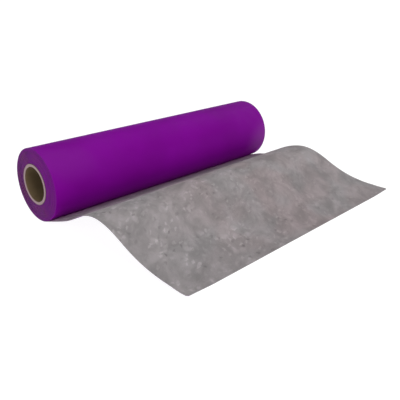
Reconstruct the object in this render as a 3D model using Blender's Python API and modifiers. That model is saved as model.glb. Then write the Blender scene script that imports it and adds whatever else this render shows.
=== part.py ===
"""A roll of fleece-backed waterproofing membrane on its cardboard core.

The sheet is one piece. It is wound tight on the core, film side out, and its free end leaves the
roll at the bottom, rises in one wave and lies down on the floor in front.
Metres, +Z up. The roll's axis runs along X, and the free end lies towards -Y.
"""

import math

import bmesh
import bpy
from mathutils import Vector

# The sheet
SHEET_WIDTH = 1.000
SHEET_THICKNESS = 0.0015
CORNER_RADIUS = 0.008

# The wound roll, measured over its outermost turn
ROLL_DIAMETER = 0.238

# The turns show on the roll's ends as shallow grooves, one for every third turn.
TURNS_PER_GROOVE = 3
GROOVE_WIDTH = 0.0012
GROOVE_DEPTH = 0.0008

# The cardboard core. The turns lie looser at the roll's front, so the core is a little behind the middle.
CORE_DIAMETER = 0.132
CORE_WALL = 0.009
CORE_OVERHANG = 0.001
CORE_CLEARANCE = 0.0003
CORE_SETBACK = 0.009

# The free end. Its distances are measured along the floor from the roll's front.
LIFT_OFF_ANGLE = math.radians(16)
LANDING_FROM_ROLL = 0.540
END_FROM_ROLL = 0.557
CREST_HEIGHT = 0.0965
# The wave between lift-off and landing passes the rise's steepest point, the crest, the fall's steepest
# point and the foot. Each has its share of the way, its share of the crest's height and its steepness,
# which is the change in the second share over the change in the first.
WAVE_SHAPE = (
    (0.275, 0.68, 3.20),
    (0.443, 1.00, 0.00),
    (0.634, 0.61, -3.40),
    (0.842, 0.14, -1.07),
)

# How finely the round stretches are cut
TURN_STEPS = 90
CORE_STEPS = 72
GROOVE_STEPS = 60
WAVE_STEPS = 10
CORNER_STEPS = 5

ROLL_RADIUS = ROLL_DIAMETER / 2
CORE_RADIUS = CORE_DIAMETER / 2
BORE_RADIUS = CORE_RADIUS + CORE_CLEARANCE
MERGE_DISTANCE = 0.00001
FLAT_ANGLE = math.radians(0.01)
SHARP_ANGLE = math.radians(30)
# The sheet's own frame has its X ahead of the roll, its Y up and its Z along the roll's axis.
SECTION_ROTATION = (math.radians(90), 0, math.radians(-90))
TURNED_ROTATION = (0, math.radians(90), 0)


def clear_scene():
    for item in list(bpy.data.objects):
        bpy.data.objects.remove(item)


def make_material(name, colour, roughness):
    material = bpy.data.materials.new(name)
    material.use_nodes = True
    shader = material.node_tree.nodes["Principled BSDF"]
    shader.inputs["Base Color"].default_value = (*colour, 1)
    shader.inputs["Roughness"].default_value = roughness
    shader.inputs["Metallic"].default_value = 0
    return material


def on_circle(radius, angle):
    """A point on a circle round the roll's axis. Angle 0 is the bottom, growing towards the front."""
    return Vector((radius * math.sin(angle), -radius * math.cos(angle)))


def outer_turn():
    """The outermost turn, from where the sheet lifts off, up over the front and round to there again.

    The turn is a spiral, so it ends one sheet thickness further out than it starts.
    """
    points = []
    for step in range(TURN_STEPS + 1):
        share = step / TURN_STEPS
        radius = ROLL_RADIUS - SHEET_THICKNESS * (1 - share)
        points.append(on_circle(radius, LIFT_OFF_ANGLE + math.tau * share))
    return points


def wave_knots(floor):
    """The points that the free end's underside passes through on its wave, with its slope at each."""
    start = on_circle(ROLL_RADIUS, LIFT_OFF_ANGLE)
    run = ROLL_RADIUS + LANDING_FROM_ROLL - start.x
    knots = [(start, math.tan(LIFT_OFF_ANGLE))]
    for along, height, steepness in WAVE_SHAPE:
        point = Vector((start.x + along * run, floor + height * CREST_HEIGHT))
        knots.append((point, steepness * CREST_HEIGHT / run))
    knots.append((Vector((start.x + run, floor)), 0.0))
    return knots


def smooth_height(start, end, rise, fall, t):
    """The height at share t of the way from start to end, on the cubic with those slopes there."""
    span = end.x - start.x
    return (
        (2 * t**3 - 3 * t**2 + 1) * start.y
        + (t**3 - 2 * t**2 + t) * span * rise
        + (3 * t**2 - 2 * t**3) * end.y
        + (t**3 - t**2) * span * fall
    )


def underside_path(floor):
    """The free end's underside from lift-off along the wave to the end of its flat stretch."""
    knots = wave_knots(floor)
    path = []
    for (start, rise), (end, fall) in zip(knots, knots[1:]):
        for step in range(WAVE_STEPS):
            t = step / WAVE_STEPS
            along = start.x + t * (end.x - start.x)
            path.append(Vector((along, smooth_height(start, end, rise, fall, t))))
    path.append(knots[-1][0])
    path.append(Vector((ROLL_RADIUS + END_FROM_ROLL, floor)))
    return path


def top_side(path):
    """The path moved up by the sheet's thickness, square to the sheet at every point."""
    points = []
    for index, point in enumerate(path):
        before = path[max(index - 1, 0)]
        after = path[min(index + 1, len(path) - 1)]
        along = (after - before).normalized()
        if index == 0:
            along = Vector((math.cos(LIFT_OFF_ANGLE), math.sin(LIFT_OFF_ANGLE)))
        points.append(point + Vector((-along.y, along.x)) * SHEET_THICKNESS)
    return points


def bore_circle():
    """The hole that the core fills, leaving a small clearance all round."""
    centre = Vector((-CORE_SETBACK, 0))
    return [centre + on_circle(BORE_RADIUS, -math.tau * step / TURN_STEPS) for step in range(TURN_STEPS)]


def section_outline():
    """The closed outline of roll and free end, seen along the roll's axis."""
    turn = outer_turn()
    floor = min(point.y for point in turn)
    underside = underside_path(floor)
    # The turn starts and ends where the two sides of the free end meet the roll.
    return turn + underside[1:] + top_side(underside)[:0:-1]


def add_closed_spline(curve, points):
    spline = curve.splines.new("POLY")
    spline.points.add(len(points) - 1)
    for slot, point in zip(spline.points, points):
        slot.co = (point.x, point.y, 0, 1)
    spline.use_cyclic_u = True


def mesh_from_curve(curve_object):
    """Turns the filled outline into a mesh of one closed surface, with few faces on its flat ends."""
    graph = bpy.context.evaluated_depsgraph_get()
    mesh = bpy.data.meshes.new_from_object(curve_object.evaluated_get(graph))
    bpy.data.objects.remove(curve_object)
    shell = bmesh.new()
    shell.from_mesh(mesh)
    bmesh.ops.remove_doubles(shell, verts=shell.verts, dist=MERGE_DISTANCE)
    bmesh.ops.recalc_face_normals(shell, faces=shell.faces)
    flat = [edge for edge in shell.edges if edge.calc_face_angle() < FLAT_ANGLE]
    bmesh.ops.dissolve_edges(shell, edges=flat, use_verts=False)
    shell.to_mesh(mesh)
    shell.free()
    return mesh


def round_front_corners(mesh):
    """Rounds the free end's two corners, which are the short edges at its far end."""
    end = ROLL_RADIUS + END_FROM_ROLL
    shell = bmesh.new()
    shell.from_mesh(mesh)
    corners = [
        edge
        for edge in shell.edges
        if all(abs(vert.co.x - end) < MERGE_DISTANCE for vert in edge.verts)
        and abs(edge.verts[0].co.z - edge.verts[1].co.z) < MERGE_DISTANCE
        and len(edge.link_faces) == 2
        and edge.calc_face_angle() > math.radians(45)
    ]
    bmesh.ops.bevel(
        shell,
        geom=corners,
        offset=CORNER_RADIUS,
        offset_type="OFFSET",
        affect="EDGES",
        segments=CORNER_STEPS,
        profile=0.5,
    )
    shell.to_mesh(mesh)
    shell.free()


def add_turn(piece, steps):
    """Turns the piece's profile once round its own Z axis."""
    turn = piece.modifiers.new("turn", "SCREW")
    turn.axis = "Z"
    turn.angle = math.tau
    turn.steps = steps
    turn.render_steps = steps
    turn.use_merge_vertices = True
    turn.merge_threshold = MERGE_DISTANCE
    turn.use_smooth_shade = False


def groove_radii():
    """The grooves' radii, from just inside the outermost turn to just outside the innermost."""
    spacing = TURNS_PER_GROOVE * SHEET_THICKNESS
    outermost = ROLL_RADIUS - 2 * SHEET_THICKNESS
    innermost = BORE_RADIUS + SHEET_THICKNESS
    count = int((outermost - innermost) / spacing) + 1
    return [outermost - index * spacing for index in range(count)]


def make_groove_cutter(collection, axis, radius):
    """Two rings of triangular section that cut one turn's groove into both ends of the roll.

    Each ring stands as far out of the end as it reaches in, so it is twice the groove's width there.
    The further in a turn lies, the further back it is set, until the innermost one follows the core.
    """
    end = SHEET_WIDTH / 2
    corners = [
        (radius + GROOVE_WIDTH, 0, end + GROOVE_DEPTH),
        (radius, 0, end - GROOVE_DEPTH),
        (radius - GROOVE_WIDTH, 0, end + GROOVE_DEPTH),
        (radius, 0, GROOVE_DEPTH - end),
        (radius + GROOVE_WIDTH, 0, -end - GROOVE_DEPTH),
        (radius - GROOVE_WIDTH, 0, -end - GROOVE_DEPTH),
    ]
    mesh = bpy.data.meshes.new("groove_cutter")
    mesh.from_pydata(corners, [(0, 1), (1, 2), (2, 0), (3, 4), (4, 5), (5, 3)], [])
    cutter = bpy.data.objects.new("groove_cutter", mesh)
    collection.objects.link(cutter)
    add_turn(cutter, GROOVE_STEPS)
    inwards = (ROLL_RADIUS - radius) / (ROLL_RADIUS - BORE_RADIUS)
    cutter.location = (0, CORE_SETBACK * inwards, 0)
    cutter.rotation_euler = TURNED_ROTATION
    cutter.parent = axis
    cutter.hide_render = True
    cutter.display_type = "WIRE"


def make_membrane(collection, axis, cutters):
    """The whole sheet: the wound roll with its bore, and the free end, cut from one outline."""
    curve = bpy.data.curves.new("membrane_section", "CURVE")
    curve.dimensions = "2D"
    curve.fill_mode = "BOTH"
    curve.extrude = SHEET_WIDTH / 2
    add_closed_spline(curve, section_outline())
    add_closed_spline(curve, bore_circle())
    curve_object = bpy.data.objects.new("membrane_section", curve)
    collection.objects.link(curve_object)
    mesh = mesh_from_curve(curve_object)
    mesh.name = "membrane"
    round_front_corners(mesh)
    # The roll's two ends face along its axis and stay flat.
    for face in mesh.polygons:
        face.use_smooth = abs(face.normal.z) < math.cos(SHARP_ANGLE)
    mesh.set_sharp_from_angle(angle=SHARP_ANGLE)
    mesh.materials.append(make_material("purple_film", (0.165, 0.007, 0.215), 0.42))
    membrane = bpy.data.objects.new("membrane", mesh)
    collection.objects.link(membrane)
    membrane.rotation_euler = SECTION_ROTATION
    membrane.parent = axis
    grooves = membrane.modifiers.new("grooves", "BOOLEAN")
    grooves.operation = "DIFFERENCE"
    grooves.solver = "EXACT"
    grooves.operand_type = "COLLECTION"
    grooves.collection = cutters
    return membrane


def make_core(collection, axis):
    """The cardboard tube, turned from its wall's outline. It stands out a little at both ends."""
    half_length = SHEET_WIDTH / 2 + CORE_OVERHANG
    inner_radius = CORE_RADIUS - CORE_WALL
    corners = [
        (CORE_RADIUS, 0, half_length),
        (CORE_RADIUS, 0, -half_length),
        (inner_radius, 0, -half_length),
        (inner_radius, 0, half_length),
    ]
    mesh = bpy.data.meshes.new("core_tube")
    mesh.from_pydata(corners, [(0, 1), (1, 2), (2, 3), (3, 0)], [])
    mesh.materials.append(make_material("cardboard", (0.46, 0.30, 0.17), 0.85))
    core = bpy.data.objects.new("core_tube", mesh)
    collection.objects.link(core)
    add_turn(core, CORE_STEPS)
    core.location = (0, CORE_SETBACK, 0)
    core.rotation_euler = TURNED_ROTATION
    core.parent = axis
    return core


def make_roll_axis(collection):
    """The empty on the roll's axis that carries both pieces. The floor and the depth's middle are at 0."""
    axis = bpy.data.objects.new("roll_axis", None)
    axis_height = -min(point.y for point in outer_turn())
    front = ROLL_RADIUS + END_FROM_ROLL
    back = max(-point.x for point in outer_turn())
    axis.location = (0, (front - back) / 2, axis_height)
    collection.objects.link(axis)
    return axis


def main():
    clear_scene()
    collection = bpy.data.collections.new("membrane_roll")
    cutters = bpy.data.collections.new("cutters")
    bpy.context.scene.collection.children.link(collection)
    bpy.context.scene.collection.children.link(cutters)
    axis = make_roll_axis(collection)
    for radius in groove_radii():
        make_groove_cutter(cutters, axis, radius)
    make_membrane(collection, axis, cutters)
    make_core(collection, axis)


main()
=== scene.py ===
"""The looks of a roll of fleece-backed waterproofing membrane, lying with its free end pulled out.

The sheet is one ribbon of nearly its real thickness, about 20 m long. It is wound on the core turn over turn
with its film side out, leaves the roll at the bottom, rises in a wave and lies down on the floor in front.
Metres, +Z up. The roll's axis runs along X, and the free end lies towards -Y.
"""

import math

import bmesh
import bpy
import numpy as np
from mathutils import Matrix, Vector, noise


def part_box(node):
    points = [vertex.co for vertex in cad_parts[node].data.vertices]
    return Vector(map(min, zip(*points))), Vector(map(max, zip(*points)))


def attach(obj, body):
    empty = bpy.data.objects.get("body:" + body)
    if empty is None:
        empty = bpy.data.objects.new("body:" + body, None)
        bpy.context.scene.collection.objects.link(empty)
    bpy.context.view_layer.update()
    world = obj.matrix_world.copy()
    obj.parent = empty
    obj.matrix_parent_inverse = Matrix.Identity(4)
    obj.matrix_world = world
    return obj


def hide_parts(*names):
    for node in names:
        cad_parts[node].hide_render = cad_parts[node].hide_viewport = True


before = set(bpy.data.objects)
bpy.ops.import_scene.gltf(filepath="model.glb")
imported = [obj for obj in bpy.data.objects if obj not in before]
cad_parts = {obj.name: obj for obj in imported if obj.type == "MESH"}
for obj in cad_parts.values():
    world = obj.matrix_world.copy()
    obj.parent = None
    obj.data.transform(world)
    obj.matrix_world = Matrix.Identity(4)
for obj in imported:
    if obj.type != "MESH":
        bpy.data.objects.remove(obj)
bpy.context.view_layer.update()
SHEET_LOW, SHEET_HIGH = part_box("membrane")
CORE_LOW, CORE_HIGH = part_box("core_tube")

# The roll's axis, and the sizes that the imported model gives. The front edge is TAIL_END ahead of the axis,
# and the core's middle is a little behind it, because the turns lie looser at the roll's front.
TAIL_END = 0.676
AXIS_Y = SHEET_LOW.y + TAIL_END
AXIS_Z = (CORE_LOW.z + CORE_HIGH.z) / 2
CORE_SETBACK = (CORE_LOW.y + CORE_HIGH.y) / 2 - AXIS_Y
CORE_RADIUS = (CORE_HIGH.z - CORE_LOW.z) / 2
CORE_LENGTH = CORE_HIGH.x - CORE_LOW.x
SHEET_WIDTH = SHEET_HIGH.x - SHEET_LOW.x

# The sheet. The ribbon is a little thinner than the distance between its turns, so that they keep apart.
TURN_PITCH = 0.0015
MEAN_THICKNESS = 0.00138
FILM_THICKNESS = 0.00045
EDGE_CHAMFER = 0.0002
CORNER_RADIUS = 0.008
LIFT_OFF = math.radians(16)
ROLL_RADIUS = AXIS_Z + TURN_PITCH * LIFT_OFF / math.tau
CORE_GAP = 0.0003
BORE_RADIUS = CORE_RADIUS + CORE_GAP
# How much further apart the turns are at the roll's front than on average, as a share
LOOSENESS = CORE_SETBACK / (ROLL_RADIUS - BORE_RADIUS)
# How the turns are shifted along the axis, as two swings along the sheet: reach, wavelength and seed
EDGE_WANDER = (
    (0.0007, 0.55, 3.1),
    (0.0003, 0.16, 8.7),
)

# The free end's wave, as in the solid model: the share of the way, of the crest's height, and the steepness
FLAT_FRONT = 0.017
CREST_HEIGHT = 0.0965
WAVE_SHAPE = (
    (0.275, 0.68, 3.20),
    (0.443, 1.00, 0.00),
    (0.634, 0.61, -3.40),
    (0.842, 0.14, -1.07),
)

# The free end's small departures from an even wave. Its left side lies higher than its right, and it
# swells a little all over. Both set in and fade out over the two spans ahead of the axis.
SIDE_LIFT = 0.0020
SWELL = 0.0006
SWELL_WAVELENGTH = 0.16
SWELL_SEED = 1.3
UNEVEN_START = (0.15, 0.30)
UNEVEN_END = (0.58, TAIL_END - FLAT_FRONT)
# The lifted front corners, with the spans over which they rise across the sheet and ahead of the axis
CORNER_LIFT = 0.0035
CORNER_ACROSS = (0.40, SHEET_WIDTH / 2)
CORNER_AHEAD = (0.57, 0.63)
# Ripples at the sides: which side, with 1 as the right, how far ahead of the axis, half width and height
RIPPLES = (
    (1, 0.122, 0.022, -0.0045),
    (1, 0.215, 0.045, 0.0020),
    (-1, 0.185, 0.050, -0.0022),
)

# How finely the ribbon is cut. Up to the heading FINE_START a station has only its two sides.
COLUMNS = 128
COARSE_COLUMNS = 2
INNER_STEP = math.radians(5)
FINE_START = math.radians(-375)
OUTER_STEP = math.radians(3.75)
TAIL_STEP = 0.0075
CORNER_STEPS = 5
SHEET_CREASE = math.radians(35)

# The core's wall
CORE_WALL = 0.009
CORE_LIP = 0.0006
CORE_STEPS = 180
CORE_CREASE = math.radians(30)

# The material slots of the ribbon and of the core
FILM_SLOT, FLEECE_SLOT, EDGE_SLOT = range(3)
WALL_SLOT, CUT_SLOT = range(2)

# All colours are linear red, green and blue, and a pair of places is the span of a fade.
# A painted sheen makes the film paler towards the roll's ends and its top.
FILM_DARK = (0.134, 0.0009, 0.181)
FILM_LIGHT = (0.157, 0.0014, 0.216)
FILM_SHEEN = (0.149, 0.0058, 0.200)
SHEEN_ACROSS = (0.18, 0.44)
SHEEN_HEIGHT = (0.12, 0.20)
# A painted reflection of the bright floor: a pale patch of the film, low on the front of the roll's right
# end
FILM_FLOOR_REFLECTION = (0.180, 0.022, 0.224)
FLOOR_REFLECTION_PLACE = (0.51, AXIS_Y - 0.11, 0.060)
FLOOR_REFLECTION_HEART = 0.05
FLOOR_REFLECTION_REACH = 0.14
# Painted light: the paler stretch of film low on the roll's front, along the sheet from lift-off
FILM_LOW_FRONT_LIT = (0.250, 0.0060, 0.328)
LOW_FRONT_START = (-0.76, -0.74)
LOW_FRONT_END = (-0.705, -0.625)

# The fleece is warmer in patches, which come up over the first span across it and weaken over the second.
FLEECE_COOL = (0.236, 0.221, 0.225)
FLEECE_WARM = (0.242, 0.206, 0.210)
WARM_RISE = (-0.40, 0.00)
WARM_FALL = (0.10, 0.45)
# Its painted shadow of the roll near it and painted reflection of the purple film right beside it, along the
# sheet from lift-off, the first a little aslant
FLEECE_ROLL_SHADOW = (0.188, 0.134, 0.174)
ROLL_SHADOW_SPAN = (0.13, 0.165)
ROLL_SHADOW_SLANT = 0.06
FLEECE_FILM_REFLECTION = (0.300, 0.095, 0.280)
FILM_REFLECTION_SPAN = (0.02, 0.07)
# Its marks grow fainter from left to right. Blobs and chips are paler than the rest, and pits darker.
MARKS_ACROSS = (-0.45, 0.45)
BLOB_LEVEL = 0.20
CHIP_LEVEL = 0.26
PIT_LEVEL = 0.26
MARK_RELIEF = 2.0
# Each kind of mark lies in its own grid of cells, shifted by this many of them. A mark fades out over its
# rim, which is given as shares of its half length.
FLECK_SHIFT = (7.3, 3.9)
FLECK_RIM = (0.3, 1.1)
# The fibres lie mostly aslant, at this angle from the sheet's width. Above 0 is towards the free end.
FIBRE_LAY = math.radians(-45)
FIBRE_STRETCH = 1.6

# The slit edges, on the roll's ends, on its outermost turns and on the free end, fading along the sheet
EDGE_DARK = (0.050, 0.009, 0.066)
EDGE_REDDISH = (0.062, 0.013, 0.054)
EDGE_STRAND = (0.11, 0.075, 0.10)
EDGE_OUTERMOST = (0.068, 0.0055, 0.090)
OUTERMOST_TURNS = (-6.5, -4.0)
EDGE_FREE = (0.20, 0.19, 0.193)
FREE_END_START = (0.0, 0.02)

# The core's wall and cut ends, and the floor
WALL_DARK = (0.125, 0.088, 0.048)
WALL_LIGHT = (0.160, 0.114, 0.064)
CUT_DARK = (0.212, 0.153, 0.160)
CUT_LIGHT = (0.240, 0.178, 0.183)
FLOOR_DARK = (0.13, 0.13, 0.13)
FLOOR_LIGHT = (0.14, 0.14, 0.14)

# The camera, matched to the photograph's view. The eye's Y is counted from the roll's axis.
LENS_MM = 47.33
SENSOR_MM = 36.0
EYE = Vector((-1.2327, -1.4557, 0.6657))
YAW = math.radians(44.988)
PITCH = math.radians(21.344)
ROLL = math.radians(-0.886)

# The stage. The floor is a light table, so that hardly any shadow falls on it.
FLOOR_SIZE = 400
FLOOR_GAP = 0.0003
FLOOR_GLOW = 0.95
# The sky's strength at the horizon and overhead, and the rises between which it changes, as a direction's Z
HORIZON_LIGHT = 1.0
DOME_LIGHT = 0.10
HORIZON_RISE = 0.10
DOME_RISE = 0.40

# The lights: name, azimuth from the front towards the left, elevation, brightness of a white sheet that
# faces it, and spread, with all angles in degrees
LIGHTS = (
    ("key", 3, 38, 0.66, 30),
    ("left_fill", 92, 20, 0.69, 36),
    ("right_fill", 262, 42, 0.22, 40),
    ("over_roll", 180, 62, 0.11, 12),
)
LAMP_PLACE = (-0.32, 0.18, 0.95)
LAMP_SIZE = 0.30
LAMP_WATTS = 0.5


def to_world(across, ahead, up):
    """Points from the roll's own frame, where ahead and up are counted from its axis."""
    return np.stack([across, AXIS_Y - ahead, AXIS_Z + up], axis=-1)


def soft_noise(points, wavelength, seed):
    """Smooth noise from about -1 to 1 at each point of an array of triples, in metres."""
    flat = points.reshape(-1, 3) / wavelength + seed
    values = [noise.noise(Vector(point)) for point in flat]
    return np.array(values).reshape(points.shape[:-1])


def smooth_step(values, start, end):
    """From 0 at the start to 1 at the end, without a kink."""
    t = np.clip((values - start) / (end - start), 0, 1)
    return t * t * (3 - 2 * t)


def spiral_stations(first, last, step):
    """Stations along the wound sheet: ahead, up and heading, with the points on the film side.

    The heading is the angle round the axis from the bottom towards the front. The further in a turn lies,
    the further back it is set.
    """
    count = max(1, round((last - first) / step))
    heading = np.linspace(first, last, count + 1)
    radius = ROLL_RADIUS - TURN_PITCH * (LIFT_OFF - heading) / math.tau
    setback = LOOSENESS * (ROLL_RADIUS - radius)
    return np.stack([radius * np.sin(heading) - setback, -radius * np.cos(heading), heading], axis=1)


def wound_stations():
    """The stations of the wound turns: the inner ones, cut coarsely, and those of the outermost turn."""
    turns = (ROLL_RADIUS - BORE_RADIUS - MEAN_THICKNESS) / TURN_PITCH
    inner = spiral_stations(LIFT_OFF - math.tau * turns, FINE_START, INNER_STEP)
    outer = spiral_stations(FINE_START, LIFT_OFF, OUTER_STEP)[1:]
    return inner, outer


def wave_knots():
    """The points that the free end's underside passes through: ahead, height and slope."""
    start = ROLL_RADIUS * math.sin(LIFT_OFF)
    run = TAIL_END - FLAT_FRONT - start
    knots = [(start, AXIS_Z - ROLL_RADIUS * math.cos(LIFT_OFF), math.tan(LIFT_OFF))]
    for along, height, steepness in WAVE_SHAPE:
        knots.append((start + along * run, height * CREST_HEIGHT, steepness * CREST_HEIGHT / run))
    knots.append((start + run, 0.0, 0.0))
    return knots


def wave_height(ahead):
    """The height and slope of the free end's underside at each distance ahead, as cubics between knots."""
    height = np.zeros_like(ahead)
    slope = np.zeros_like(ahead)
    knots = wave_knots()
    for (a, low, rise), (b, high, fall) in zip(knots, knots[1:]):
        span = b - a
        here = (ahead >= a) & (ahead < b)
        t = (ahead[here] - a) / span
        height[here] = (
            (2 * t**3 - 3 * t**2 + 1) * low
            + (t**3 - 2 * t**2 + t) * span * rise
            + (3 * t**2 - 2 * t**3) * high
            + (t**3 - t**2) * span * fall
        )
        slope[here] = (
            (6 * t**2 - 6 * t) * (low - high) / span
            + (3 * t**2 - 4 * t + 1) * rise
            + (3 * t**2 - 2 * t) * fall
        )
    return height, slope


def tail_stations():
    """Stations along the free end, from just past lift-off to the front edge."""
    start = ROLL_RADIUS * math.sin(LIFT_OFF)
    straight_end = TAIL_END - CORNER_RADIUS
    count = round((straight_end - start) / TAIL_STEP)
    straight = np.linspace(start, straight_end, count + 1)[1:]
    turned = np.linspace(0, math.pi / 2, CORNER_STEPS + 1)[1:]
    ahead = np.concatenate([straight, straight_end + CORNER_RADIUS * np.sin(turned)])
    height, slope = wave_height(ahead)
    return np.stack([ahead, height - AXIS_Z, np.arctan(slope)], axis=1)


def length_along(stations):
    """The distance along the sheet at each station."""
    steps = np.hypot(*np.diff(stations[:, :2], axis=0).T)
    return np.concatenate([[0.0], np.cumsum(steps)])


def edge_wander(along):
    """How far the whole sheet is shifted along the axis: the turns don't lie exactly over each other."""
    places = np.stack([along, along * 0, along * 0], axis=-1)
    return sum(reach * soft_noise(places, wavelength, seed) for reach, wavelength, seed in EDGE_WANDER)


def ribbon_thickness(stations, lift_off):
    """The ribbon is thicker where its turns lie looser, and stays as it is at lift-off on the free end."""
    thickness = MEAN_THICKNESS * (1 + LOOSENESS * np.sin(stations[:, 2]))
    thickness[lift_off:] = thickness[lift_off]
    return thickness


def row_width(columns):
    """How many vertices a station has: its film row, its fleece row and the two edge middles."""
    return 2 * columns + 2


def station_rows(stations, along, thickness, columns):
    """Each station's vertices in the roll's frame: film row, fleece row and the two edge middles."""
    ahead, up, heading = stations.T
    normal = np.stack([np.sin(heading), -np.cos(heading)], axis=1)
    into_corner = np.clip(ahead - (TAIL_END - CORNER_RADIUS), 0, CORNER_RADIUS)
    half = SHEET_WIDTH / 2 - CORNER_RADIUS + np.sqrt(CORNER_RADIUS**2 - into_corner**2)
    shift = edge_wander(along)
    share = np.linspace(-1, 1, columns)
    rows = np.empty((len(stations), row_width(columns), 3))
    for row, depth in enumerate((0 * thickness, thickness)):
        block = rows[:, row * columns:(row + 1) * columns]
        block[:, :, 0] = share * (half - EDGE_CHAMFER)[:, None] + shift[:, None]
        block[:, :, 1] = (ahead - normal[:, 0] * depth)[:, None]
        block[:, :, 2] = (up - normal[:, 1] * depth)[:, None]
    for side, sign in enumerate((-1, 1)):
        rows[:, 2 * columns + side, 0] = sign * half + shift
        rows[:, 2 * columns + side, 1] = ahead - normal[:, 0] * FILM_THICKNESS
        rows[:, 2 * columns + side, 2] = up - normal[:, 1] * FILM_THICKNESS
    return rows


def free_end_lift(across, ahead):
    """How far the free end lies above the even wave: its left side, its swell, its corners and ripples."""
    raised = smooth_step(ahead, *UNEVEN_START) * (1 - smooth_step(ahead, *UNEVEN_END))
    side = -SIDE_LIFT * across / (SHEET_WIDTH / 2)
    places = np.stack([across, ahead, ahead * 0], axis=-1)
    swell = SWELL * soft_noise(places, SWELL_WAVELENGTH, SWELL_SEED)
    corners = smooth_step(np.abs(across), *CORNER_ACROSS) * smooth_step(ahead, *CORNER_AHEAD)
    lift = raised * (side + swell) + CORNER_LIFT * corners
    for sign, middle, width, height in RIPPLES:
        near_side = smooth_step(sign * across, 0.0, SHEET_WIDTH / 2)
        lift += height * near_side * np.exp(-(((ahead - middle) / width) ** 2))
    return lift


def ribbon_points(stations, along, inner_count, lift_off):
    """The ribbon's vertices in the world: the coarse stations' and then the fine ones'."""
    thickness = ribbon_thickness(stations, lift_off)
    coarse, fine = slice(0, inner_count), slice(inner_count, None)
    coarse_rows = station_rows(stations[coarse], along[coarse], thickness[coarse], COARSE_COLUMNS)
    fine_rows = station_rows(stations[fine], along[fine], thickness[fine], COLUMNS)
    free_rows = fine_rows[lift_off + 1 - inner_count:]
    free_rows[..., 2] += free_end_lift(free_rows[..., 0], free_rows[..., 1])
    points = np.concatenate([coarse_rows.reshape(-1, 3), fine_rows.reshape(-1, 3)])
    return to_world(*points.T)


def ring_faces(first, count, columns):
    """The faces that join each station's vertices to the next station's, as a list of (corners, slot)."""
    width = row_width(columns)
    base = first + width * np.arange(count - 1)[:, None]
    film = base + np.arange(columns - 1)[None, :]
    fleece = film + columns
    film_left, film_right = base, base + columns - 1
    fleece_left, fleece_right = base + columns, base + 2 * columns - 1
    left, right = base + 2 * columns, base + 2 * columns + 1
    groups = (
        (film + 1, film, FILM_SLOT),
        (fleece, fleece + 1, FLEECE_SLOT),
        (film_left, left, FILM_SLOT),
        (left, fleece_left, EDGE_SLOT),
        (right, film_right, FILM_SLOT),
        (fleece_right, right, EDGE_SLOT),
    )
    faces = []
    for one, other, slot in groups:
        quads = np.stack([one, one + width, other + width, other], -1).reshape(-1, 4)
        faces += [(quad, slot) for quad in quads.tolist()]
    return faces


def joint_faces(coarse, fine, columns):
    """The faces between the last coarse station, which has only its two sides, and the first fine one."""
    faces = []
    middle = columns // 2
    for row, slot in ((0, FILM_SLOT), (1, FLEECE_SLOT)):
        left, right = coarse + COARSE_COLUMNS * row, coarse + COARSE_COLUMNS * row + 1
        start = fine + row * columns
        faces += [((left, start + i, start + i + 1), slot) for i in range(middle)]
        faces += [((right, start + i, start + i + 1), slot) for i in range(middle, columns - 1)]
        faces.append(((left, start + middle, right), slot))
    coarse_row = range(coarse, coarse + row_width(COARSE_COLUMNS))
    film_left, film_right, fleece_left, fleece_right, left, right = coarse_row
    fine_left, fine_right = fine + 2 * columns, fine + 2 * columns + 1
    faces.append(((film_left, left, fine_left, fine), FILM_SLOT))
    faces.append(((left, fleece_left, fine + columns, fine_left), EDGE_SLOT))
    faces.append(((right, film_right, fine + columns - 1, fine_right), FILM_SLOT))
    faces.append(((fleece_right, right, fine_right, fine + 2 * columns - 1), EDGE_SLOT))
    return faces


def end_faces(first, columns):
    """The faces of the sheet's cut end, across its whole width."""
    film = list(range(first, first + columns))
    fleece = list(range(first + columns, first + 2 * columns))
    left, right = first + 2 * columns, first + 2 * columns + 1
    faces = [((a, b, d, c), EDGE_SLOT) for a, b, c, d in zip(film, film[1:], fleece, fleece[1:])]
    faces.append(((film[0], fleece[0], left), EDGE_SLOT))
    faces.append(((film[-1], right, fleece[-1]), EDGE_SLOT))
    return faces


def ribbon_faces(inner_count, fine_count):
    """The faces of the coarse stations, the fine ones, the joint between them and the two cut ends."""
    narrow, wide = row_width(COARSE_COLUMNS), row_width(COLUMNS)
    fine_first = narrow * inner_count
    front_edge = fine_first + wide * (fine_count - 1)
    faces = ring_faces(0, inner_count, COARSE_COLUMNS)
    faces += joint_faces(fine_first - narrow, fine_first, COLUMNS)
    faces += ring_faces(fine_first, fine_count, COLUMNS)
    faces += end_faces(0, COARSE_COLUMNS)
    faces += end_faces(front_edge, COLUMNS)
    return faces


def make_mesh(name, points, faces, materials):
    """An object from points and (corners, slot) faces, with its faces turned outwards."""
    mesh = bpy.data.meshes.new(name)
    mesh.from_pydata(points.tolist(), [], [corners for corners, slot in faces])
    for material in materials:
        mesh.materials.append(material)
    mesh.polygons.foreach_set("material_index", [slot for corners, slot in faces])
    shell = bmesh.new()
    shell.from_mesh(mesh)
    bmesh.ops.recalc_face_normals(shell, faces=shell.faces)
    shell.to_mesh(mesh)
    shell.free()
    piece = bpy.data.objects.new(name, mesh)
    bpy.context.scene.collection.objects.link(piece)
    return piece


def store_lengths(sheet, along, inner_count):
    """Gives each vertex its distance along the sheet, which the materials read."""
    coarse = np.repeat(along[:inner_count], row_width(COARSE_COLUMNS))
    fine = np.repeat(along[inner_count:], row_width(COLUMNS))
    layer = sheet.data.attributes.new("along", "FLOAT", "POINT")
    layer.data.foreach_set("value", np.concatenate([coarse, fine]))


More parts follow.
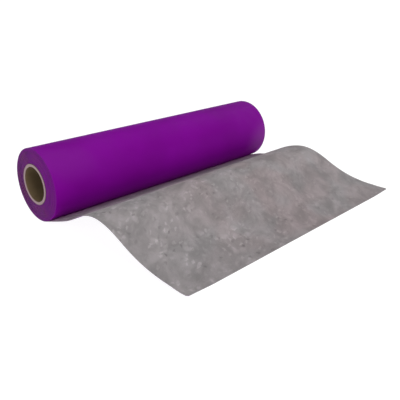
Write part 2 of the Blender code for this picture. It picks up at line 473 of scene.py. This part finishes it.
def make_sheet(materials):
    """The whole ribbon: fine where it shows from both sides, and coarse where it is wound up inside."""
    inner, outer = wound_stations()
    stations = np.concatenate([inner, outer, tail_stations()])
    lift_off = len(inner) + len(outer) - 1
    along = length_along(stations)
    length = along[-1]
    along -= along[lift_off]
    points = ribbon_points(stations, along, len(inner), lift_off)
    faces = ribbon_faces(len(inner), len(stations) - len(inner))
    sheet = make_mesh("membrane_sheet", points, faces, materials)
    sheet.data.shade_smooth()
    sheet.data.set_sharp_from_angle(angle=SHEET_CREASE)
    store_lengths(sheet, along, len(inner))
    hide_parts("membrane")
    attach(sheet, "root")
    return sheet, length


def core_outline():
    """The outline of the tube's wall, as across and radius, with a small lip at each edge."""
    inner_radius = CORE_RADIUS - CORE_WALL
    half = CORE_LENGTH / 2
    right = [
        (half - CORE_LIP, CORE_RADIUS),
        (half, CORE_RADIUS - CORE_LIP),
        (half, inner_radius + CORE_LIP),
        (half - CORE_LIP, inner_radius),
    ]
    left = [(-across, radius) for across, radius in reversed(right)]
    return right + left


def make_core(materials):
    """The cardboard tube, turned from its wall's outline."""
    outline = core_outline()
    count = len(outline)
    points = [
        (across, radius * math.sin(angle) - CORE_SETBACK, -radius * math.cos(angle))
        for angle in np.linspace(0, math.tau, CORE_STEPS, endpoint=False)
        for across, radius in outline
    ]
    faces = []
    for step in range(CORE_STEPS):
        here, there = step * count, (step + 1) % CORE_STEPS * count
        for i in range(count):
            j = (i + 1) % count
            slot = WALL_SLOT if outline[i][0] == -outline[j][0] else CUT_SLOT
            faces.append(((here + i, here + j, there + j, there + i), slot))
    core = make_mesh("core_board", to_world(*np.array(points).T), faces, materials)
    core.data.shade_smooth()
    core.data.set_sharp_from_angle(angle=CORE_CREASE)
    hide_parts("core_tube")
    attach(core, "root")
    return core


class Nodes:
    """A material's node tree, with short calls to add nodes and to mix their results."""

    def __init__(self, name):
        self.material = bpy.data.materials.new(name)
        self.material.use_nodes = True
        self.tree = self.material.node_tree
        self.shader = self.tree.nodes["Principled BSDF"]

    def add(self, kind, settings=None, **inputs):
        """A node with its settings, and its inputs set to values or linked to other nodes' outputs."""
        node = self.tree.nodes.new(kind)
        for key, value in (settings or {}).items():
            setattr(node, key, value)
        for key, value in inputs.items():
            self.feed(node.inputs[key.replace("_", " ")], value)
        return node

    def feed(self, socket, value):
        """Sets the input to a value, or links it to another node's output."""
        if isinstance(value, bpy.types.NodeSocket):
            self.tree.links.new(value, socket)
        else:
            socket.default_value = value

    def place(self):
        """The object's own coordinates in metres."""
        return self.add("ShaderNodeTexCoord").outputs["Object"]

    def along(self):
        """The distance along the sheet in metres: below 0 on the roll, and above 0 on the free end."""
        return self.add("ShaderNodeAttribute", {"attribute_name": "along"}).outputs["Fac"]

    def across(self):
        """The distance across the sheet in metres, from its middle towards the right."""
        return self.add("ShaderNodeSeparateXYZ", Vector=self.place()).outputs["X"]

    def height(self):
        """The height above the floor in metres."""
        return self.add("ShaderNodeSeparateXYZ", Vector=self.place()).outputs["Z"]

    def sheet_place(self):
        """The place on the sheet in metres, across and along it, so that nothing stretches on the wave."""
        return self.add("ShaderNodeCombineXYZ", X=self.across(), Y=self.along()).outputs["Vector"]

    def lay(self, place, angle, stretch):
        """The place turned and pressed together, so that patterns on it are drawn out along that angle."""
        turned = self.add("ShaderNodeVectorRotate", {"rotation_type": "Z_AXIS"}, Vector=place, Angle=-angle)
        return self.vector("MULTIPLY", turned.outputs["Vector"], (1 / stretch, 1, 0))

    def math(self, operation, one, other=0.0):
        """One or two numbers treated with the operation."""
        node = self.add("ShaderNodeMath", {"operation": operation})
        self.feed(node.inputs[0], one)
        self.feed(node.inputs[1], other)
        return node.outputs["Value"]

    def vector(self, operation, one, other=None):
        """One or two vectors treated with the operation."""
        node = self.add("ShaderNodeVectorMath", {"operation": operation})
        self.feed(node.inputs[0], one)
        if other is not None:
            self.feed(node.inputs[1], other)
        return node.outputs["Value" if operation == "LENGTH" else "Vector"]

    def noise(self, place, wavelength, detail=2.0, roughness=0.5, distortion=0.0):
        """Cloudy noise, mostly from 0.3 to 0.7, with its largest forms of that wavelength."""
        node = self.add("ShaderNodeTexNoise", Vector=place, Scale=1 / wavelength, Detail=detail)
        node.inputs["Roughness"].default_value = roughness
        node.inputs["Distortion"].default_value = distortion
        return node.outputs["Fac"]

    def ramp(self, value, low, high, bottom=0.0, top=1.0):
        """The value carried smoothly from the range low..high to bottom..top."""
        node = self.add("ShaderNodeMapRange", {"interpolation_type": "SMOOTHSTEP"}, Value=value)
        node.inputs["From Min"].default_value = low
        node.inputs["From Max"].default_value = high
        node.inputs["To Min"].default_value = bottom
        node.inputs["To Max"].default_value = top
        return node.outputs["Result"]

    def warp(self, place, wavelength, reach):
        """The place pushed about by up to half the reach, so that straight marks on it come out bent."""
        push = self.add("ShaderNodeTexNoise", Vector=place, Scale=1 / wavelength, Detail=1.0)
        centred = self.vector("SUBTRACT", push.outputs["Color"], (0.5, 0.5, 0.5))
        return self.vector("ADD", place, self.vector("MULTIPLY", centred, (reach, reach, 0)))

    def flecks(self, place, spacing, length, width, share):
        """Short marks that lie all ways, one at most in a cell: up to 1 on a mark, and 0 beside it."""
        start = (spacing * FLECK_SHIFT[0], spacing * FLECK_SHIFT[1], 0)
        shifted = self.vector("ADD", place, start)
        flat = {"voronoi_dimensions": "2D"}
        cells = self.add("ShaderNodeTexVoronoi", flat, Vector=shifted, Scale=1 / spacing)
        offset = self.vector("SUBTRACT", shifted, cells.outputs["Position"])
        pick = self.add("ShaderNodeSeparateColor", Color=cells.outputs["Color"])
        turn = self.math("MULTIPLY", pick.outputs["Red"], math.tau)
        turned = self.add("ShaderNodeVectorRotate", {"rotation_type": "Z_AXIS"}, Vector=offset, Angle=turn)
        shape = self.vector("MULTIPLY", turned.outputs["Vector"], (2 / length, 2 / width, 0))
        inside = self.ramp(self.vector("LENGTH", shape), *FLECK_RIM, bottom=1.0, top=0.0)
        chosen = self.ramp(pick.outputs["Green"], 1 - share, 1.0)
        return self.math("MULTIPLY", inside, chosen)

    def blend(self, share, one, other, kind="MIX"):
        """One colour turned into the other by the share, or treated with it."""
        node = self.add("ShaderNodeMix", {"data_type": "RGBA", "blend_type": kind})
        self.feed(node.inputs["Factor"], share)
        self.feed(node.inputs["A"], one if isinstance(one, bpy.types.NodeSocket) else (*one, 1))
        self.feed(node.inputs["B"], other if isinstance(other, bpy.types.NodeSocket) else (*other, 1))
        return node.outputs["Result"]

    def bump(self, height, distance):
        """Fine relief: the height is a share of the distance in metres."""
        node = self.add("ShaderNodeBump", Height=height, Distance=distance, Strength=1.0)
        self.feed(self.shader.inputs["Normal"], node.outputs["Normal"])

    def finish(self, colour, roughness, specular):
        """The material, with what its shader still needs."""
        self.feed(self.shader.inputs["Base Color"], colour)
        self.feed(self.shader.inputs["Roughness"], roughness)
        self.shader.inputs["Specular IOR Level"].default_value = specular
        return self.material


def film_with_sheen(nodes, place, colour):
    """The colour, with a painted sheen that makes it paler in patches on the roll's upper half towards both
    ends.
    """
    from_middle = nodes.math("ABSOLUTE", nodes.across())
    patches = nodes.noise(place, wavelength=0.15)
    painted_sheen = nodes.ramp(patches, 0.38, 0.60, bottom=0.3, top=1.0)
    painted_sheen = nodes.math("MULTIPLY", painted_sheen, nodes.ramp(from_middle, *SHEEN_ACROSS))
    painted_sheen = nodes.math("MULTIPLY", painted_sheen, nodes.ramp(nodes.height(), *SHEEN_HEIGHT))
    return nodes.blend(painted_sheen, colour, FILM_SHEEN)


def film_with_floor_reflection(nodes, place, colour):
    """The colour, with a pale patch of painted reflection round one place."""
    from_reflection = nodes.vector("LENGTH", nodes.vector("SUBTRACT", place, FLOOR_REFLECTION_PLACE))
    reflected = nodes.ramp(from_reflection, FLOOR_REFLECTION_HEART, FLOOR_REFLECTION_REACH, bottom=0.9, top=0.0)
    return nodes.blend(reflected, colour, FILM_FLOOR_REFLECTION)


def film_with_low_front_light(nodes, colour):
    """The colour, made paler by painted light on one stretch of the outermost turn."""
    along = nodes.along()
    after_start = nodes.ramp(along, *LOW_FRONT_START)
    before_end = nodes.ramp(along, *LOW_FRONT_END, bottom=1.0, top=0.0)
    return nodes.blend(nodes.math("MULTIPLY", after_start, before_end), colour, FILM_LOW_FRONT_LIT)


def film_material():
    """Smooth satin polymer film, a little uneven, made paler by a painted sheen towards the ends, by a
    painted floor reflection, and by painted light low on the roll's front.
    """
    nodes = Nodes("purple_film")
    place = nodes.place()
    cloudy = nodes.noise(place, wavelength=0.20, detail=3.0)
    colour = nodes.blend(nodes.ramp(cloudy, 0.3, 0.7), FILM_DARK, FILM_LIGHT)
    colour = film_with_sheen(nodes, place, colour)
    colour = film_with_floor_reflection(nodes, place, colour)
    colour = film_with_low_front_light(nodes, colour)
    grain = nodes.noise(place, wavelength=0.006, detail=3.0)
    roughness = nodes.ramp(nodes.noise(place, wavelength=0.05), 0.3, 0.7, bottom=0.50, top=0.60)
    nodes.bump(grain, distance=0.00012)
    return nodes.finish(colour, roughness, specular=0.022)


def fleece_colour(nodes, place, across):
    """Grey with warmer patches, with a purple-tinted painted shadow of the roll and a painted reflection of
    its film near the roll.
    """
    patches = nodes.noise(place, wavelength=0.14, detail=1.0, distortion=0.6)
    warm = nodes.ramp(patches, 0.35, 0.60, bottom=0.1, top=1.0)
    warm = nodes.math("MULTIPLY", warm, nodes.ramp(across, *WARM_RISE, bottom=0.2, top=1.0))
    warm = nodes.math("MULTIPLY", warm, nodes.ramp(across, *WARM_FALL, bottom=1.0, top=0.6))
    colour = nodes.blend(warm, FLEECE_COOL, FLEECE_WARM)
    along = nodes.along()
    # Painted shadow of the roll on the fleece near it, tinted purple
    aslant = nodes.math("ADD", along, nodes.math("MULTIPLY", across, ROLL_SHADOW_SLANT))
    roll_shadow = nodes.ramp(aslant, *ROLL_SHADOW_SPAN, bottom=1.0, top=0.0)
    colour = nodes.blend(roll_shadow, colour, FLEECE_ROLL_SHADOW)
    # Painted reflection of the purple film on the fleece right beside the roll
    film_reflection = nodes.ramp(along, *FILM_REFLECTION_SPAN, bottom=1.0, top=0.0)
    return nodes.blend(film_reflection, colour, FLEECE_FILM_REFLECTION)


def fleece_marks(nodes, place, across):
    """How much paler or darker the fleece is for its clusters of blobs, chips of fibre and small pits."""
    plainer = nodes.ramp(across, *MARKS_ACROSS, bottom=1.35, top=0.45)
    bent = nodes.warp(place, wavelength=0.012, reach=0.014)
    cluster = nodes.ramp(nodes.noise(bent, wavelength=0.080, detail=1.0), 0.36, 0.58, bottom=0.2, top=1.0)
    blob = nodes.flecks(bent, spacing=0.032, length=0.034, width=0.020, share=0.9)
    frayed = nodes.warp(bent, wavelength=0.005, reach=0.005)
    chip = nodes.flecks(frayed, spacing=0.017, length=0.016, width=0.009, share=0.8)
    pit = nodes.flecks(bent, spacing=0.021, length=0.013, width=0.009, share=0.5)
    blob = nodes.math("MULTIPLY", blob, BLOB_LEVEL)
    pale = nodes.math("ADD", blob, nodes.math("MULTIPLY", chip, CHIP_LEVEL))
    pale = nodes.math("SUBTRACT", pale, nodes.math("MULTIPLY", pit, PIT_LEVEL))
    return nodes.math("MULTIPLY", pale, nodes.math("MULTIPLY", cluster, plainer))


def fleece_material():
    """Grey non-woven fleece: cloudy patches with marks on them, and a fine relief of fibres."""
    nodes = Nodes("grey_fleece")
    place = nodes.lay(nodes.sheet_place(), FIBRE_LAY, FIBRE_STRETCH)
    across = nodes.across()
    colour = fleece_colour(nodes, place, across)
    clouds = nodes.noise(place, wavelength=0.070, detail=4.0, roughness=0.62, distortion=0.5)
    cloud = nodes.ramp(clouds, 0.28, 0.72, bottom=0.74, top=1.14)
    marks = fleece_marks(nodes, place, across)
    level = nodes.math("ADD", cloud, marks)
    grey = nodes.add("ShaderNodeCombineColor", Red=level, Green=level, Blue=level)
    colour = nodes.blend(1.0, colour, grey.outputs["Color"], "MULTIPLY")
    fibre = nodes.noise(place, wavelength=0.0035, detail=4.0, roughness=0.7, distortion=3.0)
    relief = nodes.math("ADD", nodes.math("MULTIPLY", marks, MARK_RELIEF), fibre)
    nodes.bump(relief, distance=0.0005)
    nodes.shader.inputs["Sheen Weight"].default_value = 0.05
    nodes.shader.inputs["Sheen Roughness"].default_value = 0.6
    return nodes.finish(colour, roughness=0.95, specular=0.05)


def edge_material():
    """The slit edge: dusky purple on the roll's ends, purer on the outermost turns, grey on the free end."""
    nodes = Nodes("slit_edge")
    place = nodes.place()
    blotch = nodes.ramp(nodes.noise(place, wavelength=0.030), 0.38, 0.62)
    colour = nodes.blend(blotch, EDGE_DARK, EDGE_REDDISH)
    outermost = nodes.ramp(nodes.along(), *OUTERMOST_TURNS, bottom=0.0, top=0.8)
    colour = nodes.blend(outermost, colour, EDGE_OUTERMOST)
    strand = nodes.ramp(nodes.noise(place, wavelength=0.0025), 0.50, 0.75, bottom=0.0, top=0.25)
    colour = nodes.blend(strand, colour, EDGE_STRAND)
    colour = nodes.blend(nodes.ramp(nodes.along(), *FREE_END_START), colour, EDGE_FREE)
    nodes.bump(nodes.noise(place, wavelength=0.002), distance=0.0003)
    return nodes.finish(colour, roughness=0.85, specular=0.08)


def wall_material():
    """The tube's wall inside and out: brown board, a little cloudy."""
    nodes = Nodes("board_wall")
    place = nodes.place()
    colour = nodes.blend(nodes.noise(place, wavelength=0.03, detail=4.0), WALL_DARK, WALL_LIGHT)
    nodes.bump(nodes.noise(place, wavelength=0.003, detail=3.0), distance=0.0003)
    return nodes.finish(colour, roughness=0.9, specular=0.08)


def cut_material():
    """The tube's cut ends: board that is paler than on the wall."""
    nodes = Nodes("board_cut")
    place = nodes.place()
    colour = nodes.blend(nodes.noise(place, wavelength=0.02, detail=3.0), CUT_DARK, CUT_LIGHT)
    nodes.bump(nodes.noise(place, wavelength=0.002, detail=3.0), distance=0.0002)
    return nodes.finish(colour, roughness=0.9, specular=0.08)


def floor_material():
    """A plain matt floor that glows."""
    nodes = Nodes("pale_floor")
    colour = nodes.blend(nodes.noise(nodes.place(), wavelength=3.0, detail=1.0), FLOOR_DARK, FLOOR_LIGHT)
    nodes.shader.inputs["Emission Color"].default_value = (1, 1, 1, 1)
    nodes.shader.inputs["Emission Strength"].default_value = FLOOR_GLOW
    return nodes.finish(colour, roughness=0.9, specular=0.0)


def make_camera():
    """The camera at the eye, turned by its yaw, its pitch down and its roll."""
    data = bpy.data.cameras.new("camera")
    data.lens = LENS_MM
    data.sensor_width = SENSOR_MM
    data.sensor_fit = "HORIZONTAL"
    camera = bpy.data.objects.new("camera", data)
    bpy.context.scene.collection.objects.link(camera)
    forward = Vector((math.sin(YAW) * math.cos(PITCH), math.cos(YAW) * math.cos(PITCH), -math.sin(PITCH)))
    level = Vector((math.cos(YAW), -math.sin(YAW), 0))
    upright = level.cross(forward)
    right = level * math.cos(ROLL) + upright * math.sin(ROLL)
    up = upright * math.cos(ROLL) - level * math.sin(ROLL)
    turn = Matrix((right, up, -forward)).transposed().to_4x4()
    camera.matrix_world = Matrix.Translation(EYE + Vector((0, AXIS_Y, 0))) @ turn
    bpy.context.scene.camera = camera


def make_floor():
    """A wide floor, a hair below the object."""
    bpy.ops.mesh.primitive_plane_add(size=FLOOR_SIZE, location=(0, 0, -FLOOR_GAP))
    floor = bpy.context.object
    floor.name = "floor"
    floor.data.materials.append(floor_material())


def make_sky():
    """Soft light from all round: pale at the horizon, as a studio's far wall, and dimmer above."""
    world = bpy.data.worlds.new("studio")
    world.use_nodes = True
    tree = world.node_tree
    background = tree.nodes["Background"]
    coordinates = tree.nodes.new("ShaderNodeTexCoord")
    split = tree.nodes.new("ShaderNodeSeparateXYZ")
    tree.links.new(coordinates.outputs["Generated"], split.inputs["Vector"])
    rise = tree.nodes.new("ShaderNodeMapRange")
    rise.interpolation_type = "SMOOTHSTEP"
    rise.inputs["From Min"].default_value = HORIZON_RISE
    rise.inputs["From Max"].default_value = DOME_RISE
    rise.inputs["To Min"].default_value = HORIZON_LIGHT
    rise.inputs["To Max"].default_value = DOME_LIGHT
    tree.links.new(split.outputs["Z"], rise.inputs["Value"])
    tree.links.new(rise.outputs["Result"], background.inputs["Strength"])
    background.inputs["Color"].default_value = (1, 1, 1, 1)
    bpy.context.scene.world = world


def make_light(name, azimuth, elevation, brightness, spread):
    """A broad soft light from far away. With an energy of pi it lights a white sheet facing it to 1."""
    data = bpy.data.lights.new(name, "SUN")
    data.energy = brightness * math.pi
    data.angle = math.radians(spread)
    light = bpy.data.objects.new(name, data)
    bpy.context.scene.collection.objects.link(light)
    around, above = math.radians(azimuth), math.radians(elevation)
    level = math.cos(above)
    towards = Vector((-math.sin(around) * level, -math.cos(around) * level, math.sin(above)))
    light.rotation_euler = towards.to_track_quat("Z", "Y").to_euler()


def make_lamp():
    """A small soft lamp above the roll's left end, which makes that end a little brighter than the rest."""
    data = bpy.data.lights.new("lamp", "AREA")
    data.shape = "DISK"
    data.size = LAMP_SIZE
    data.energy = LAMP_WATTS
    lamp = bpy.data.objects.new("lamp", data)
    lamp.location = LAMP_PLACE
    bpy.context.scene.collection.objects.link(lamp)


def set_view():
    """Colours are shown as they are, without a film look."""
    view = bpy.context.scene.view_settings
    view.view_transform = "Standard"
    view.look = "None"


def main():
    """The two pieces, the stage, the lights and the camera."""
    sheet, length = make_sheet([film_material(), fleece_material(), edge_material()])
    core = make_core([wall_material(), cut_material()])
    make_floor()
    make_sky()
    for light in LIGHTS:
        make_light(*light)
    make_lamp()
    make_camera()
    set_view()


main()
